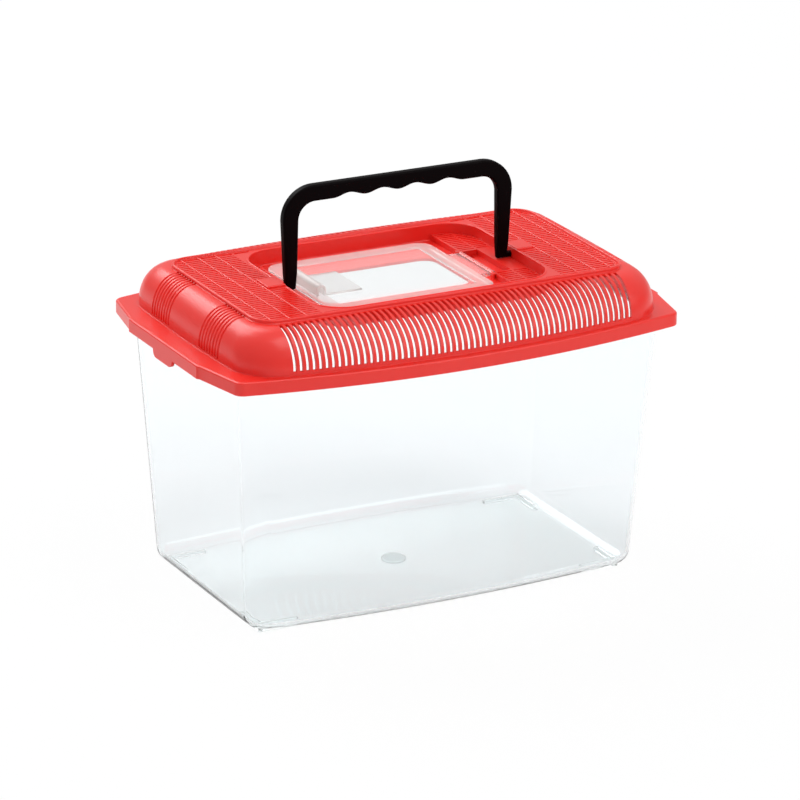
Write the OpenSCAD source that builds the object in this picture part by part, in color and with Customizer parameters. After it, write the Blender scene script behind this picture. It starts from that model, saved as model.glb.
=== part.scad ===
// Plastic pet keeper: a clear drafted tank, a clip-on vented lid, a folding
// carrying handle and a clear hatch door that hinges in a recess of the lid.
// Units are millimetres. The origin is the middle of the tank's footprint on
// the surface it stands on. X runs along the length, Y towards the back.

/* [Tank] */
// Half length of the tank at its floor
tank_half_length = 119.5; // [80:0.5:180]
// Half width of the tank at the corners of its floor
tank_half_width = 65.3; // [45:0.1:110]
// How far a long wall bows out beyond its corners, at the floor
tank_bow = 7.2; // [0:0.1:10]
// How much the tank widens on each side from floor to rim
tank_draft = 9.5; // [2:0.5:10]
// Height of the tank's top edge
tank_height = 151.8; // [115:0.2:151.8]
// Thickness of the walls
tank_wall = 2; // [1.5:0.1:3]
// Thickness of the floor
tank_floor = 2.4; // [1.8:0.1:4]
// Radius of the upright corners
tank_corner_r = 12; // [8:1:20]
// Radius of the edge between floor and walls
tank_bottom_r = 8; // [4:1:12]
// Height of the feet under the floor
foot_height = 2; // [1:0.5:4]

/* [Lid rim] */
// Half length of the lid at the middle of its ends
rim_half_length = 142.7; // [100:0.1:210]
// Half length of the lid at its four corners
rim_corner_x = 135; // [95:0.5:200]
// Half width of the lid at its four corners
rim_corner_y = 78.4; // [60:0.1:130]
// Half length of the straight middle of an end
rim_end_y = 43.6; // [25:0.1:60]
// How far a long side of the lid bows out
rim_bow = 15.1; // [5:0.1:18]
// Height of the skirt's lower edge
skirt_bottom = 146.1; // [105:0.1:220]
// Height of the flange's upper face
rim_top = 153.8; // [113:0.1:227]
// Thickness of the skirt and the flange
rim_wall = 1.8; // [1.4:0.1:2.5]
// Width of a clip tab on the lid's end
tab_width = 24; // [12:1:40]
// Height of a clip tab's lower edge
tab_bottom = 142; // [100:0.5:217]

/* [Lid dome] */
// Half length of the dome at its foot
dome_half_length = 127.5; // [90:0.5:190]
// Half width of the dome at its foot, at the corners
dome_half_width = 76.4; // [55:0.1:115]
// Rise of the dome's shoulder above its foot
dome_rise = 22.7; // [15:0.1:35]
// Thickness of the dome
dome_wall = 1.5; // [1.4:0.1:2.2]

/* [Top plate] */
// Half length of the raised plate
plate_half_length = 113.4; // [80:0.1:170]
// Half width of the raised plate
plate_half_width = 59.8; // [45:0.1:90]
// Height of the lip round the plate
lip_top = 178.7; // [135:0.1:255]
// Depth of the plate's face below its lip
lip_step = 1.3; // [0.8:0.1:2]

/* [Vents] */
// Number of slots in each long side of the dome
side_slots = 58; // [20:1:60]
// Distance from slot to slot
side_slot_pitch = 3.6; // [3.2:0.1:4]
// Width of a slot
side_slot_w = 1.9; // [1.2:0.1:2.6]
// Distance from rib to rib in the top grid
grid_column_pitch = 10.4; // [9:0.1:12]
// Distance from slit to slit in the top grid
grid_row_pitch = 3; // [2.6:0.1:4]
// Width of a slit in the top grid
grid_slit_w = 1.3; // [1:0.1:1.8]

/* [Recess] */
// Half length of the recess in the top plate
recess_half_length = 71.4; // [71.2:0.1:73]
// Half width of the recess
recess_half_width = 54; // [50:0.5:56]
// Corner radius of the recess
recess_corner_r = 19; // [10:1:25]
// Height of the recess floor
recess_floor = 168.5; // [160:0.1:170]
// Left end of the hatch opening
opening_left = -55.5; // [-58:0.5:-45]
// Right end of the hatch opening
opening_right = 35; // [20:0.5:37]
// Half width of the hatch opening
opening_half_width = 25.5; // [15:0.5:30]

/* [Handle] */
// Half span of the handle outside its legs
handle_half_span = 70.9; // [70:0.1:70.9]
// Height of the grip's upper face
handle_top = 231; // [220:1:255]
// Height of the pivot axis
pivot_height = 173.8; // [173:0.1:175]
// Depth of the handle from front to back
handle_depth = 5.4; // [4:0.1:6]
// Distance from finger to finger under the grip
finger_pitch = 20.2; // [18:0.1:22]
// Depth of a finger groove
finger_depth = 2.2; // [1:0.1:3]
// Diameter of the pivot pegs
peg_d = 3.6; // [3:0.1:3.7]

/* [Hatch door] */
// Left end of the door
door_left = -61; // [-61.5:0.1:-58]
// Right end of the door
door_right = 41; // [38:0.1:42]
// Half width of the door
door_half_width = 43; // [35:0.5:46]
// Thickness of the door's pane
pane_t = 1.6; // [1.2:0.1:2]
// Place of the hinge axis along the lid
hinge_x = 50.4; // [49.8:0.1:51.4]
// Height of the hinge axis
hinge_z = 170.4; // [170.3:0.1:170.6]
// Diameter of the hinge bar
hinge_bar_d = 3.4; // [3:0.1:3.5]
// Diameter of the hinge pins at the bar's ends
hinge_pin_d = 2; // [1.6:0.1:2.2]
// Height of the finger grip's crest
grip_top = 178.8; // [176:0.1:181]

/* [Hidden] */

lid_red = "#f03a30";
clear_tint = [0.86, 0.93, 0.92, 0.35];
handle_black = "#151113";

cut = 1; // how far a cutter runs past the face that it cuts
small_gap = 0.3; // clearance between pieces that move past each other
running_gap = 0.06; // radial clearance of the pegs and pins in their holes
least_r = 2; // least radius that an inset outline keeps

// Tank
tank_steps = 4; // layers round the bottom edge
flange_t = 2.4; // thickness of the tank's rim flange
flange_inset = rim_wall + 0.5; // from the lid's outer face in to the flange's edge
tank_top_bow = tank_bow + 2.5; // bow of a long wall at the rim
foot_arm = 24; // length of a foot's two arms
foot_w = 3;
foot_outset = 1; // how far a foot stands outside the flat of the floor

// Lid
rim_corner_r = 4;
rim_corner_lean = 0.4; // how far the small corner round leans out
flange_bottom = rim_top - rim_wall;
tab_t = 2;
dome_end_bow = 2.5;
dome_bow = 12.6;
dome_top = rim_top + dome_rise;
dome_steps = 5; // layers over the shoulder
dome_foot_straight = 2.5; // upright part of the wall under the shoulder
shoulder_half_length = plate_half_length + 1.6; // where the shoulder ends at the plate
shoulder_half_width = plate_half_width + 1.8;
shoulder_corner_r = 14; // corner radius of the dome at the plate
dome_corner_grow = 6; // how much that radius grows down to the dome's foot
plate_corner_r = 13;
plate_top = lip_top - lip_step;
plate_bottom = dome_top - dome_wall / 2;
lip_w = 1.6;

// Vents
slot_bottom = rim_top + 2.2; // lower end of the side slots
slot_span = (side_slots - 1) * side_slot_pitch;
slot_inner_y = plate_half_width + 2; // upper end of the side slots
slot_outer_y = dome_half_width + dome_bow + 3; // clear of the dome's widest point
grid_first_x = recess_half_length + 2.4; // inner end of the first whole column
grid_columns = 4;
grid_inner_columns = 2; // shorter columns beside the recess
grid_rib_w = 1.3;
grid_rows = 38;
grid_half_y = (grid_rows - 1) / 2 * grid_row_pitch;
slit_to_boss = 1.5; // least distance from a slit to the pivot boss
slit_to_wall = 2; // and to the recess's end wall
slit_to_corner = 2.6; // and to the round corner of the recess
slit_to_lip = 1.4; // and to the plate's lip

// Recess
tub_wall = 1.8;
tub_bottom = recess_floor - tub_wall;
opening_corner_r = 8;
shelf_top = recess_floor + 3.3; // raised parts of the recess floor at its ends
shelf_left = 50.2; // inner edge of the right shelf
shelf_rib_x = 61.2; // rib between that shelf's two columns of slits
shelf_row_first = 22;
shelf_rows = 11;
slit_to_edge = 1.2; // least distance from a shelf's slit to its edges
least_slit = 3; // a shorter slit is left out
boss_length = 11.4;
boss_half_w = 7.2;
boss_top = lip_top;
boss_hole_depth = 4.6;
core_hole_y = 15.8; // inner side of the holes in the pocket's floor, under the hinge pins
core_holes = [[49.6, 53.6], [54.8, 58]]; // their left and right edges

// Handle
leg_top_w = 9.4;
leg_bottom_w = 6.6;
grip_h = 9.4;
bend_outer_r = 18.8;
bend_inner_r = 10;
leg_foot_x = handle_half_span - 2; // outer face of a leg at the pivot
foot_r = 1.75;
foot_taper_h = 8; // height over which a leg thins down to its foot
finger_count = 4;
peg_tip_x = recess_half_length + 3.8; // end of a peg in its hole
leg_bend_z = handle_top - bend_outer_r;
finger_r = (pow(finger_pitch / 2, 2) + pow(finger_depth, 2)) / (2 * finger_depth);

// Hatch door
door_corner_r = 9;
door_bottom = recess_floor + small_gap;
door_top = 172.6;
step_h = 0.6; // drop from the door's border to its pane
pane_bottom = door_top - step_h - pane_t;
border_w = 1.8;
step_w = 9;
hinge_half_l = 19.2;
pin_l = 3;
web_t = 2; // thickness of the web between door and hinge bar
ear_t = 3.6;
ear_left = hinge_x - 2;
pocket_half_w = hinge_half_l + small_gap;
grip_w = 5.2;
grip_left = -57.8;
grip_wall = 1.5;
grip_half_l = 17.5;
pad_right = -29.5;
pad_half_w = 16.5;
pad_top = door_top + 1;
latch_depth = 5;
latch_half_w = 11;

// Points of a rounded rectangle whose long sides bow out by bow and whose
// ends bow out by end_bow. All rings have the same number of points.
function bowed(half_x, half_y, r, bow, end_bow) =
    let (base = rounded_points(half_x, half_y, r))
    [for (p = base) [
        p.x + p.x / half_x * end_bow * (1 - pow(p.y / half_y, 2)),
        p.y + p.y / half_y * bow * (1 - pow(p.x / half_x, 2))]];

function rounded_points(half_x, half_y, r, arc_n = 4, long_n = 8, end_n = 2) =
    let (cx = half_x - r, cy = half_y - r)
    concat(
        [for (i = [0 : arc_n]) [cx + r * sin(90 * i / arc_n), -cy - r * cos(90 * i / arc_n)]],
        [for (i = [1 : end_n - 1]) [half_x, -cy + 2 * cy * i / end_n]],
        [for (i = [0 : arc_n]) [cx + r * cos(90 * i / arc_n), cy + r * sin(90 * i / arc_n)]],
        [for (i = [1 : long_n - 1]) [cx - 2 * cx * i / long_n, half_y]],
        [for (i = [0 : arc_n]) [-cx - r * sin(90 * i / arc_n), cy + r * cos(90 * i / arc_n)]],
        [for (i = [1 : end_n - 1]) [-half_x, cy - 2 * cy * i / end_n]],
        [for (i = [0 : arc_n]) [-cx - r * cos(90 * i / arc_n), -cy - r * sin(90 * i / arc_n)]],
        [for (i = [1 : long_n - 1]) [-cx + 2 * cx * i / long_n, -half_y]]);

// A closed solid through rings of points, each ring given as [height, points].
// The caps are fans of triangles round a point on the upright axis.
module loft(rings) {
    n = len(rings[0][1]);
    m = len(rings);
    points = concat([for (ring = rings, p = ring[1]) [p.x, p.y, ring[0]]],
                    [[0, 0, rings[0][0]], [0, 0, rings[m - 1][0]]]);
    bottom = [for (i = [0 : n - 1]) [m * n, i, (i + 1) % n]];
    top = [for (i = [0 : n - 1]) [m * n + 1, (m - 1) * n + (i + 1) % n, (m - 1) * n + i]];
    sides = [for (k = [0 : m - 2], i = [0 : n - 1], half = [0, 1])
        let (a = k * n + i, b = k * n + (i + 1) % n)
        half == 0 ? [a, a + n, b] : [b, a + n, b + n]];
    polyhedron(points = points, faces = concat(bottom, top, sides));
}

// A rounded rectangle with true arcs, given by its edges.
module rounded_rect(x0, x1, y0, y1, r) {
    translate([x0 + r, y0]) square([x1 - x0 - 2 * r, y1 - y0]);
    translate([x0, y0 + r]) square([x1 - x0, y1 - y0 - 2 * r]);
    for (x = [x0 + r, x1 - r], y = [y0 + r, y1 - r])
        translate([x, y]) circle(r = r, $fn = 48);
}

module rounded_block(half_x, half_y, z0, z1, r) {
    translate([0, 0, z0])
        linear_extrude(z1 - z0) rounded_rect(-half_x, half_x, -half_y, half_y, r);
}

// Copies a shape to all four corners.
module four_corners() {
    for (mx = [0, 1], my = [0, 1])
        mirror([mx, 0, 0]) mirror([0, my, 0]) children();
}

// Copies a shape to both ends.
module both_ends() {
    for (mx = [0, 1]) mirror([mx, 0, 0]) children();
}

// Outline of the lid's rim: bowed long sides and ends of three straights.
function rim_points(inset) =
    let (cx = rim_corner_x - inset, cy = rim_corner_y - inset, n = 20,
         front = [for (i = [0 : n])
             let (x = -cx + rim_corner_r + 2 * (cx - rim_corner_r) * i / n)
             [x, -cy - rim_bow * (1 - pow(x / cx, 2))]],
         corner = rim_corner([cx, -cy]),
         tail = [[rim_half_length - inset, -rim_end_y], [rim_half_length - inset, rim_end_y]],
         back = [for (i = [0 : n]) [-front[i].x, -front[i].y]])
    concat(front, corner, tail,
           [for (i = [len(corner) - 1 : -1 : 0]) [corner[i].x, -corner[i].y]],
           back,
           [for (p = corner) [-p.x, -p.y]],
           [for (p = tail) [-p.x, -p.y]],
           [for (i = [len(corner) - 1 : -1 : 0]) [-corner[i].x, corner[i].y]]);

// The small round between a long side and a slanting end.
function rim_corner(p) = [for (t = [0.2, 0.5, 0.8])
    [p.x - rim_corner_r * pow(1 - t, 2) + rim_corner_lean * t, p.y + rim_corner_r * pow(t, 2)]];

module rim_outline(inset) {
    polygon(rim_points(inset));
}

// Ring of the tank's outer wall at a height, taken in by inset.
function tank_ring(z, inset) =
    let (share = z / tank_height, grow = tank_draft * share - inset)
    bowed(tank_half_length + grow, tank_half_width + grow, max(tank_corner_r - inset, least_r),
          tank_bow + (tank_top_bow - tank_bow) * share, 0);

// Rings round the bottom edge, then one at the top.
function tank_rings(base, r, inset, top) = concat(
    [for (i = [0 : tank_steps])
        let (a = 90 * i / tank_steps)
        [base + r * (1 - cos(a)), tank_ring(base + r * (1 - cos(a)), inset + r * (1 - sin(a)))]],
    [[top, tank_ring(top, inset)]]);

module tank() {
    color(clear_tint) {
        difference() {
            union() {
                loft(tank_rings(foot_height, tank_bottom_r, 0, tank_height));
                translate([0, 0, tank_height - flange_t])
                    linear_extrude(flange_t) rim_outline(flange_inset);
            }
            loft(tank_rings(foot_height + tank_floor, tank_bottom_r - tank_wall, tank_wall,
                            tank_height + cut));
        }
        four_corners() tank_foot();
    }
}

// An L-shaped ridge under a corner of the floor.
module tank_foot() {
    x = tank_half_length - tank_bottom_r + foot_outset;
    y = tank_half_width - tank_bottom_r + foot_outset;
    translate([x - foot_arm, y - foot_w, 0]) cube([foot_arm, foot_w, foot_height + cut]);
    translate([x - foot_w, y - foot_arm, 0]) cube([foot_w, foot_arm, foot_height + cut]);
}

// Ring of the dome at an angle over its shoulder, taken in by inset.
function dome_ring(angle, inset) =
    let (c = cos(angle),
         half_x = shoulder_half_length + (dome_half_length - shoulder_half_length) * c,
         half_y = shoulder_half_width + (dome_half_width - shoulder_half_width) * c)
    bowed(half_x - inset, half_y - inset, shoulder_corner_r + dome_corner_grow * c - inset,
          dome_bow * c, dome_end_bow * c);

function dome_rings(inset, foot) = concat(
    [[foot, dome_ring(0, inset)]],
    [for (i = [0 : dome_steps])
        let (a = 90 * i / dome_steps, rise = dome_rise - dome_foot_straight - inset)
        [rim_top + dome_foot_straight + rise * sin(a), dome_ring(a, inset)]]);

module lid() {
    color(lid_red) {
        difference() {
            union() {
                shell();
                tub();
                both_ends() pivot_boss();
            }
            recess_space();
            shelf_hollows();
            both_ends() pivot_hole();
            side_vents();
            both_ends() grid_vents();
            shelf_vents();
            hatch_opening();
            hinge_bearings();
        }
    }
}

// Rim, dome and top plate, hollow from below.
module shell() {
    difference() {
        union() {
            rim();
            loft(dome_rings(0, flange_bottom + small_gap));
            top_plate();
        }
        loft(dome_rings(dome_wall, flange_bottom - cut));
    }
    both_ends() clip_tab();
}

module rim() {
    difference() {
        translate([0, 0, skirt_bottom]) linear_extrude(rim_top - skirt_bottom) rim_outline(0);
        translate([0, 0, skirt_bottom - cut])
            linear_extrude(flange_bottom - skirt_bottom + cut) rim_outline(rim_wall);
    }
}

// Tab that clicks over the tank's rim flange.
module clip_tab() {
    translate([rim_half_length - tab_t, -tab_width / 2, tab_bottom])
        cube([tab_t, tab_width, flange_bottom - tab_bottom]);
}

// Walls and floor of the recess, which hang below the top plate.
module tub() {
    rounded_block(recess_half_length + tub_wall, recess_half_width + tub_wall,
                  tub_bottom, lip_top, recess_corner_r + tub_wall);
}

module top_plate() {
    difference() {
        rounded_block(plate_half_length, plate_half_width, plate_bottom, lip_top, plate_corner_r);
        rounded_block(plate_half_length - lip_w, plate_half_width - lip_w, plate_top,
                      lip_top + cut, plate_corner_r - lip_w);
    }
}

// Block beside the recess that holds a pivot peg of the handle.
module pivot_boss() {
    translate([recess_half_length, -boss_half_w, tub_bottom])
        cube([boss_length, 2 * boss_half_w, boss_top - tub_bottom]);
}

module pivot_hole() {
    translate([recess_half_length - cut, 0, pivot_height]) rotate([0, 90, 0])
        cylinder(d = peg_d + 2 * running_gap, h = boss_hole_depth + cut, $fn = 48);
}

// Slots over the shoulders of both long sides.
module side_vents() {
    for (my = [0, 1]) mirror([0, my, 0])
        for (i = [0 : side_slots - 1])
            translate([i * side_slot_pitch - slot_span / 2 - side_slot_w / 2,
                       slot_inner_y, slot_bottom])
                cube([side_slot_w, slot_outer_y - slot_inner_y, dome_top + cut - slot_bottom]);
}

// A slit keeps clear of the pivot boss and of the recess's round corner.
function slit_fits(x, y) =
    let (dx = x - (recess_half_length - recess_corner_r),
         dy = abs(y) - (recess_half_width - recess_corner_r))
    (x > recess_half_length + boss_length || abs(y) > boss_half_w + slit_to_boss) &&
    (x > recess_half_length + slit_to_wall ||
     norm([max(dx, 0), max(dy, 0)]) > recess_corner_r + slit_to_corner);

// Where a slit at y has to end inside a rounded rectangle of radius r.
function slit_end(half_x, half_y, r, margin, y) =
    let (dy = max(abs(y) + grid_slit_w / 2 - half_y + r, 0))
    half_x - r - margin + sqrt(max(pow(r, 2) - pow(dy, 2), 0));

// Slits of the top plate at one end, in columns between ribs.
module grid_vents() {
    for (column = [-grid_inner_columns : grid_columns - 1], row = [0 : grid_rows - 1]) {
        x = grid_first_x + column * grid_column_pitch;
        y = row * grid_row_pitch - grid_half_y;
        end = slit_end(plate_half_length - lip_w, plate_half_width - lip_w,
                       plate_corner_r - lip_w, slit_to_lip, y);
        length = min(grid_column_pitch - grid_rib_w, end - x);
        if (slit_fits(x, y) && length > least_slit)
            translate([x, y - grid_slit_w / 2, plate_bottom - 2 * cut])
                cube([length, grid_slit_w, lip_top - plate_bottom + 2 * cut]);
    }
}

// Slits of the shelves beside the handle's legs: two columns at the right
// end and one at the left, as long as the recess's round corners leave them.
module shelf_vents() {
    for (row = [0 : shelf_rows - 1], my = [0, 1]) mirror([0, my, 0]) {
        y = shelf_row_first + row * grid_row_pitch;
        half_rib = grid_rib_w / 2;
        end = slit_end(recess_half_length, recess_half_width, recess_corner_r, slit_to_edge, y);
        shelf_slit(shelf_left + slit_to_edge, min(shelf_rib_x - half_rib, end), y);
        shelf_slit(shelf_rib_x + half_rib, end, y);
        mirror([1, 0, 0]) shelf_slit(-door_left + small_gap + slit_to_edge, end, y);
    }
}

module shelf_slit(x0, x1, y) {
    if (x1 - x0 > least_slit)
        translate([x0, y - grid_slit_w / 2, shelf_top - tub_wall - cut])
            cube([x1 - x0, grid_slit_w, tub_wall + 2 * cut]);
}

module hatch_opening() {
    translate([0, 0, tub_bottom - cut])
        linear_extrude(tub_wall + 2 * cut)
            rounded_rect(opening_left, opening_right, -opening_half_width, opening_half_width,
                         opening_corner_r);
}

// The hollow of the recess, above its floor, its two shelves and the ears
// of the hinge, with a pocket in the right shelf for the hinge bar.
module recess_space() {
    y = recess_half_width + cut;
    difference() {
        rounded_block(recess_half_length, recess_half_width, recess_floor, boss_top + cut,
                      recess_corner_r);
        translate([shelf_left, -y, recess_floor - cut])
            cube([recess_half_length, 2 * y, shelf_top - recess_floor + cut]);
        translate([door_left - small_gap - recess_half_length, -y, recess_floor - cut])
            cube([recess_half_length, 2 * y, shelf_top - recess_floor + cut]);
        for (my = [0, 1]) mirror([0, my, 0])
            translate([ear_left, pocket_half_w, recess_floor - cut])
                cube([shelf_left - ear_left + cut, ear_t, shelf_top - recess_floor + cut]);
    }
    translate([shelf_left - cut, -pocket_half_w, recess_floor])
        cube([shelf_rib_x - shelf_left + cut, 2 * pocket_half_w, shelf_top + cut - recess_floor]);
}

// The hollows under the shelves, which leave the pocket its walls.
module shelf_hollows() {
    x0 = door_left - small_gap - tub_wall;
    x1 = shelf_left + tub_wall;
    y = recess_half_width + cut;
    difference() {
        rounded_block(recess_half_length, recess_half_width, tub_bottom - cut,
                      shelf_top - tub_wall, recess_corner_r);
        translate([x0, -y, tub_bottom - 2 * cut])
            cube([x1 - x0, 2 * y, shelf_top - tub_bottom + cut]);
        translate([x1 - cut, -pocket_half_w - tub_wall, tub_bottom - 2 * cut])
            cube([shelf_rib_x + tub_wall - x1 + cut, 2 * (pocket_half_w + tub_wall),
                  shelf_top - tub_bottom + cut]);
    }
}

// Holes for the pins of the hatch door, and the core holes beside them.
module hinge_bearings() {
    for (my = [0, 1]) mirror([0, my, 0]) {
        translate([hinge_x, hinge_half_l, hinge_z]) rotate([-90, 0, 0])
            cylinder(d = hinge_pin_d + 2 * running_gap, h = ear_t + small_gap, $fn = 48);
        for (hole = core_holes)
            translate([hole[0], core_hole_y, tub_bottom - cut])
                cube([hole[1] - hole[0], pocket_half_w - core_hole_y, tub_wall + 2 * cut]);
    }
}

// Flat outline of the handle: two tapered legs, two bends and a grip.
module handle_outline() {
    difference() {
        union() {
            translate([-handle_half_span + bend_outer_r, leg_bend_z])
                square([2 * (handle_half_span - bend_outer_r), bend_outer_r]);
            for (side = [-1, 1]) {
                translate([side * (handle_half_span - bend_outer_r), leg_bend_z])
                    circle(r = bend_outer_r, $fn = 96);
                polygon([[side * handle_half_span, leg_bend_z],
                         [side * leg_foot_x, pivot_height],
                         [side * (leg_foot_x - leg_bottom_w), pivot_height],
                         [side * (handle_half_span - leg_top_w), leg_bend_z]]);
            }
        }
        grip_gap();
        for (i = [0 : finger_count - 1])
            translate([(i - (finger_count - 1) / 2) * finger_pitch,
                       handle_top - grip_h + finger_depth - finger_r])
                circle(r = finger_r, $fn = 96);
    }
}

// The open space between the legs.
module grip_gap() {
    inner = handle_half_span - leg_top_w;
    z1 = handle_top - grip_h;
    translate([-inner, leg_bend_z - bend_outer_r - cut])
        square([2 * inner, z1 - bend_inner_r - leg_bend_z + bend_outer_r + cut]);
    translate([-inner + bend_inner_r, leg_bend_z - bend_outer_r - cut])
        square([2 * (inner - bend_inner_r), z1 - leg_bend_z + bend_outer_r + cut]);
    for (side = [-1, 1]) translate([side * (inner - bend_inner_r), z1 - bend_inner_r])
        circle(r = bend_inner_r, $fn = 96);
}

module carrying_handle() {
    color(handle_black) {
        difference() {
            translate([0, handle_depth / 2, 0]) rotate([90, 0, 0])
                linear_extrude(handle_depth) handle_outline();
            for (my = [0, 1]) mirror([0, my, 0]) foot_taper();
        }
        both_ends() {
            translate([leg_foot_x - leg_bottom_w, 0, pivot_height]) rotate([0, 90, 0])
                cylinder(r = foot_r, h = leg_bottom_w, $fn = 48);
            translate([leg_foot_x - cut, 0, pivot_height]) rotate([0, 90, 0])
                cylinder(d = peg_d, h = peg_tip_x - leg_foot_x + cut, $fn = 48);
        }
    }
}

// Wedge off the rear of both legs, which thins them down to their feet.
module foot_taper() {
    half = handle_depth / 2;
    translate([-handle_half_span - cut, 0, pivot_height]) rotate([90, 0, 90])
        linear_extrude(2 * (handle_half_span + cut))
            polygon([[foot_r, 0], [foot_r, -cut], [half + cut, -cut],
                     [half + cut, foot_taper_h], [half, foot_taper_h]]);
}

module hatch_door() {
    color(clear_tint) {
        difference() {
            union() {
                door_layer(0, door_bottom, door_top);
                hinge_web();
            }
            difference() {
                door_layer(border_w, door_bottom - cut, pane_bottom);
                hinge_web();
            }
            door_layer(step_w, pane_bottom + pane_t, door_top + cut);
        }
        hinge_bar();
        finger_grip();
        latch_tongue();
    }
}

// The door's outline taken in by inset, between two heights.
module door_layer(inset, z0, z1) {
    translate([0, 0, z0]) linear_extrude(z1 - z0)
        rounded_rect(door_left + inset, door_right - inset,
                     -door_half_width + inset, door_half_width - inset,
                     max(door_corner_r - inset, least_r));
}

// Web from the door's edge to its hinge bar.
module hinge_web() {
    translate([door_right - border_w, -hinge_half_l, hinge_z - web_t / 2])
        cube([hinge_x - door_right + border_w, 2 * hinge_half_l, web_t]);
}

module hinge_bar() {
    translate([hinge_x, -hinge_half_l, hinge_z]) rotate([-90, 0, 0])
        cylinder(d = hinge_bar_d, h = 2 * hinge_half_l, $fn = 48);
    translate([hinge_x, -hinge_half_l - pin_l, hinge_z]) rotate([-90, 0, 0])
        cylinder(d = hinge_pin_d, h = 2 * (hinge_half_l + pin_l), $fn = 48);
}

// Hollow crest for a finger, with a pad beside it.
module finger_grip() {
    r = grip_w / 2;
    translate([grip_left + r, grip_half_l, 0]) rotate([90, 0, 0]) linear_extrude(2 * grip_half_l)
        difference() {
            union() {
                translate([0, grip_top - r]) circle(r = r, $fn = 48);
                translate([-r, pane_bottom]) square([2 * r, grip_top - r - pane_bottom]);
            }
            translate([0, grip_top - r]) circle(r = r - grip_wall, $fn = 48);
            translate([-r + grip_wall, door_top])
                square([2 * (r - grip_wall), grip_top - r - door_top]);
        }
    translate([grip_left + grip_w - small_gap, -pad_half_w, pane_bottom])
        cube([pad_right - grip_left - grip_w + small_gap, 2 * pad_half_w, pad_top - pane_bottom]);
}

// Spring tongue that reaches down behind the edge of the opening.
module latch_tongue() {
    translate([opening_left + 2 * small_gap, -latch_half_w, pane_bottom - latch_depth])
        cube([grip_wall, 2 * latch_half_w, latch_depth + small_gap]);
}

tank();
lid();
carrying_handle();
hatch_door();
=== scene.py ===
"""A plastic pet keeper: clear tank, red vented lid, black folding handle and clear hatch door.

The sizes in the classes are millimetres. Each piece is modelled in millimetres and finished in metres, in the
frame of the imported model.
"""

import logging
import math
from dataclasses import dataclass
from enum import Enum
from typing import Callable, Iterable, Optional, Sequence

import bmesh
import bpy
from mathutils import Matrix, Vector


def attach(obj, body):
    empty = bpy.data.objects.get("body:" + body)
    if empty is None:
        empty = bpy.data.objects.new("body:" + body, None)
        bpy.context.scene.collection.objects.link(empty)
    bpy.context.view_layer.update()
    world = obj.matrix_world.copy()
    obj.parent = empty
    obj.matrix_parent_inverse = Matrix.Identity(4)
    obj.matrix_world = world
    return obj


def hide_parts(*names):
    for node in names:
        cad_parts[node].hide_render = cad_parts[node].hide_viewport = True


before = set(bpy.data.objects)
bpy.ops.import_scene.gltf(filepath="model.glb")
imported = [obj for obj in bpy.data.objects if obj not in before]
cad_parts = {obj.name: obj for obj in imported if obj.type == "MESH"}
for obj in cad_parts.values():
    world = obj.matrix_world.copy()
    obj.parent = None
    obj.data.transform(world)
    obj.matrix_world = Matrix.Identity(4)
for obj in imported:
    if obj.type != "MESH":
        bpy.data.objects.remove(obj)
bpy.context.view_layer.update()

MM = 0.001
MERGE = 0.0005
# How near to a face an edge's middle lies that counts as on it.
NEAR = 0.01
# How far a cutter reaches past the face that it cuts.
PAST = 1.0
log = logging.getLogger("pet_keeper")

Point = tuple[float, float]
Place = tuple[float, float, float]
Ring = list[Place]
Tree = bpy.types.NodeTree


class Combine(Enum):
    """How one workpiece changes another."""

    ADD = "UNION"
    CUT = "DIFFERENCE"


# Outlines

# Steps along half a long side, round a corner and along half an end.
ALONG, CORNER, ACROSS = 16, 10, 12


def share(count: int, first: int = 0) -> list[float]:
    """The steps from first to count, each divided by count."""
    return [i / count for i in range(first, count + 1)]


def arc(steps: int, degrees: float = 90, first: int = 0) -> list[Point]:
    """Sine and cosine at even steps of a turn, from the first step to the last."""
    return [(math.sin(a), math.cos(a)) for a in (math.radians(degrees) * t for t in share(steps, first))]


def whole(quarter: Sequence[Point]) -> list[Point]:
    """Mirrors a quarter of an outline, from the Y axis to the X axis, into the closed clockwise one."""
    right = list(quarter) + [(x, -y) for x, y in reversed(quarter[:-1])]
    return right + [(-x, -y) for x, y in right[1:-1]]


def rounded(half_x: float, half_y: float, r: float, bow: float = 0, end_bow: float = 0) -> list[Point]:
    """A rounded rectangle whose sides may bow out.

    Args:
        half_x: Half length.
        half_y: Half width.
        r: Corner radius.
        bow: How far a long side bows out at its middle.
        end_bow: How far an end bows out at its middle.

    Returns:
        The closed outline's points.
    """
    cx, cy = half_x - r, half_y - r
    flat = [(cx * t, half_y) for t in share(ALONG)[:-1]]
    flat += [(cx + r * s, cy + r * c) for s, c in arc(CORNER)]
    flat += [(half_x, cy * (1 - t)) for t in share(ACROSS, 1)]
    bowed = [
        (x + x / half_x * end_bow * (1 - (y / half_y) ** 2), y + y / half_y * bow * (1 - (x / half_x) ** 2))
        for x, y in flat
    ]
    return whole(bowed)


def at_height(points: Iterable[Point], z: float, shift_x: float = 0) -> Ring:
    """Lifts an outline to a height, and may move it along X."""
    return [(x + shift_x, y, z) for x, y in points]


# Modelling


def deselect() -> None:
    """Leaves nothing selected, in object mode."""
    if bpy.context.object and bpy.context.object.mode != "OBJECT":
        bpy.ops.object.mode_set(mode="OBJECT")
    bpy.ops.object.select_all(action="DESELECT")


@dataclass(frozen=True)
class Role:
    """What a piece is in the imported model: its body, the part that it stands for and the material slot.

    Edges under the angle smooth, in degrees, are shaded smooth.
    """

    body: str
    node: str
    slot: str
    smooth: float


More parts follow.
